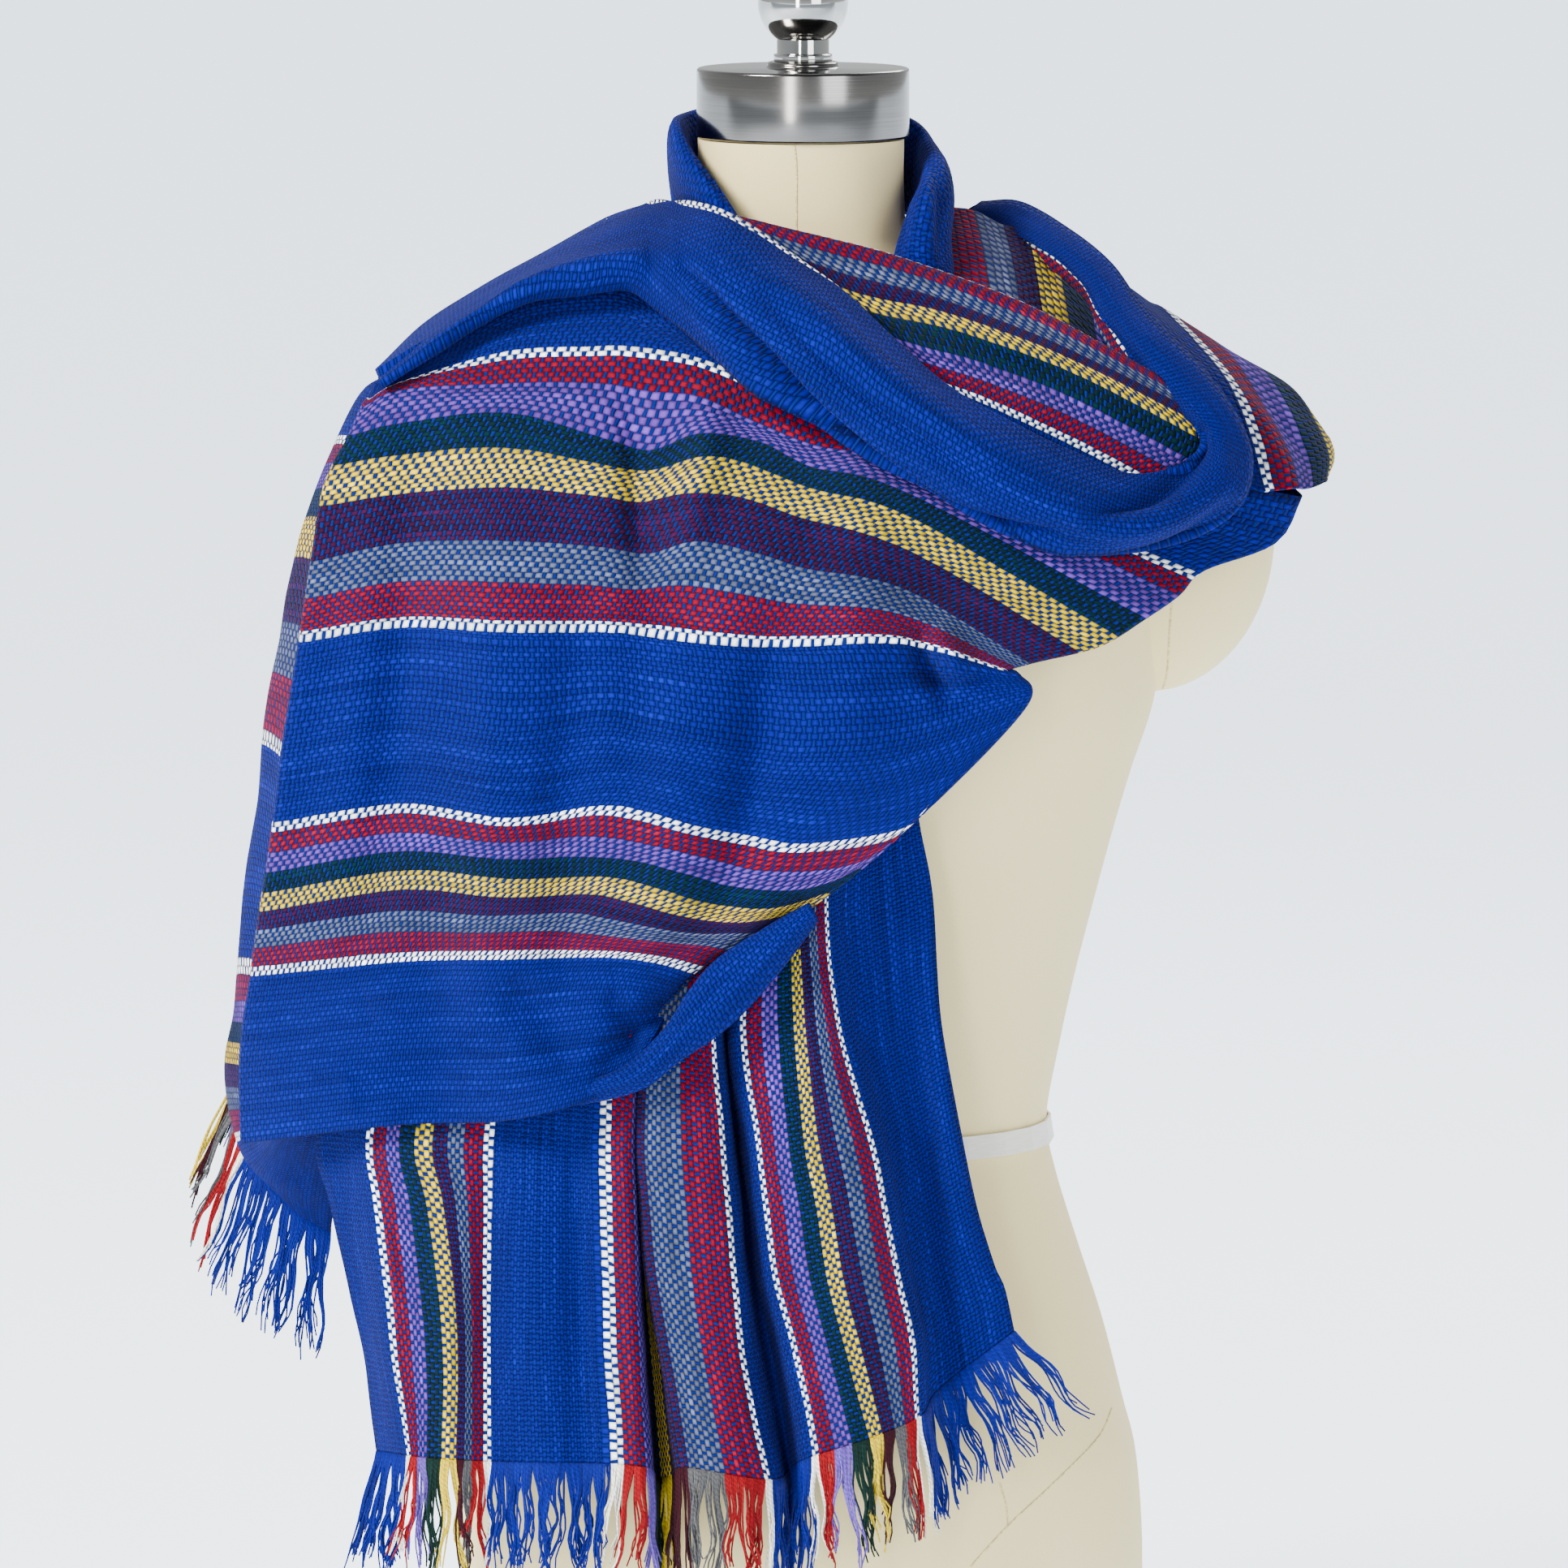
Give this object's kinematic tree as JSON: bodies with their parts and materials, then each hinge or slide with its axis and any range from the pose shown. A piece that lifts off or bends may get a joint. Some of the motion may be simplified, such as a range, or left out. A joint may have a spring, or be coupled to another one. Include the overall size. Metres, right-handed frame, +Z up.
{
  "type": "striped scarf draped on a limbless dress form",
  "caption": "Wide striped woven scarf with fringed ends, wound round the neck and over the chest and shoulder of a limbless linen dress form with a steel neck cap and ball finial.",
  "frame": {"origin": "centre of the dress form's flat base", "axes": "+Z up, the form's front faces -Y, +X to the right seen from the front"},
  "size_m": [0.535, 0.3086, 0.8999],
  "materials": {
    "linen": "smooth cream linen over a padded body",
    "neck_steel": "brushed round the cap",
    "finial_chrome": "polished ball and stem",
    "tape_satin": "pale satin tape",
    "striped_cloth": "plain weave of doubled yarn, blue with lengthwise white, red, lilac, green, yellow, maroon and grey stripes",
    "blue_cloth": "the cloth's blue, plain weave of doubled yarn",
    "fringe_yarn": "loose twisted yarn ends in the stripes' colours"
  },
  "bodies": {
    "root": {"form_torso": "linen", "form_neck_cap": "neck_steel", "form_finial": "finial_chrome", "form_waist_tape": "tape_satin", "scarf_hanging_end": "striped_cloth", "scarf_front_panel": "striped_cloth", "scarf_turned_hem": "blue_cloth", "scarf_cowl": "blue_cloth", "scarf_inner_cowl": "striped_cloth", "scarf_neck_hollow": "striped_cloth", "scarf_neck_band": "blue_cloth", "scarf_right_shoulder": "striped_cloth", "scarf_back_wrap": "striped_cloth", "fringe_front": "fringe_yarn", "fringe_back": "fringe_yarn"}
  },
  "joints": []
}
